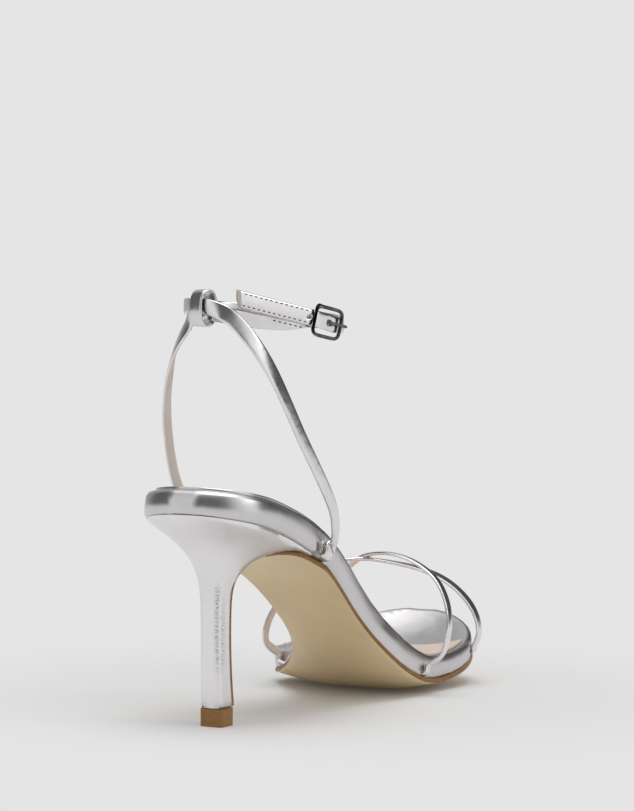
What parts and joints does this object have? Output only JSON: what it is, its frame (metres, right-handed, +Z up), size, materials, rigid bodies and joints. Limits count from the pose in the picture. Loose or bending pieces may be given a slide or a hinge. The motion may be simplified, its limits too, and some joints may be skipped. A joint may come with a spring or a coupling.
{
  "type": "strappy heeled sandal",
  "caption": "Right-foot sandal on a slim high heel, with crossing toe straps, a sling and a buckled ankle strap held by a loop at the back.",
  "frame": {"origin": "centre of the heel tip's walking face, on the floor", "axes": "+X from heel to toe, +Y to the foot's inner side, +Z up; the shoe stands as worn on a level floor"},
  "size_m": [0.2132, 0.0825, 0.1565],
  "materials": {
    "tip": "satin brown",
    "sole": "smooth tan",
    "silver_leather": "mirror-like metallic foil",
    "strap_leather": "mirror-like metallic foil",
    "sock": "matte pale",
    "buckle": "dark polished"
  },
  "bodies": {
    "root": {"heel_tip": "tip", "outsole": "sole", "heel": "silver_leather", "footbed": "silver_leather", "insole_sock": "sock", "toe_straps": "strap_leather", "sling_strap": "strap_leather", "ankle_strap": "strap_leather", "keeper_loop": "strap_leather", "buckle_frame": "buckle", "buckle_prong": "buckle"}
  },
  "joints": []
}
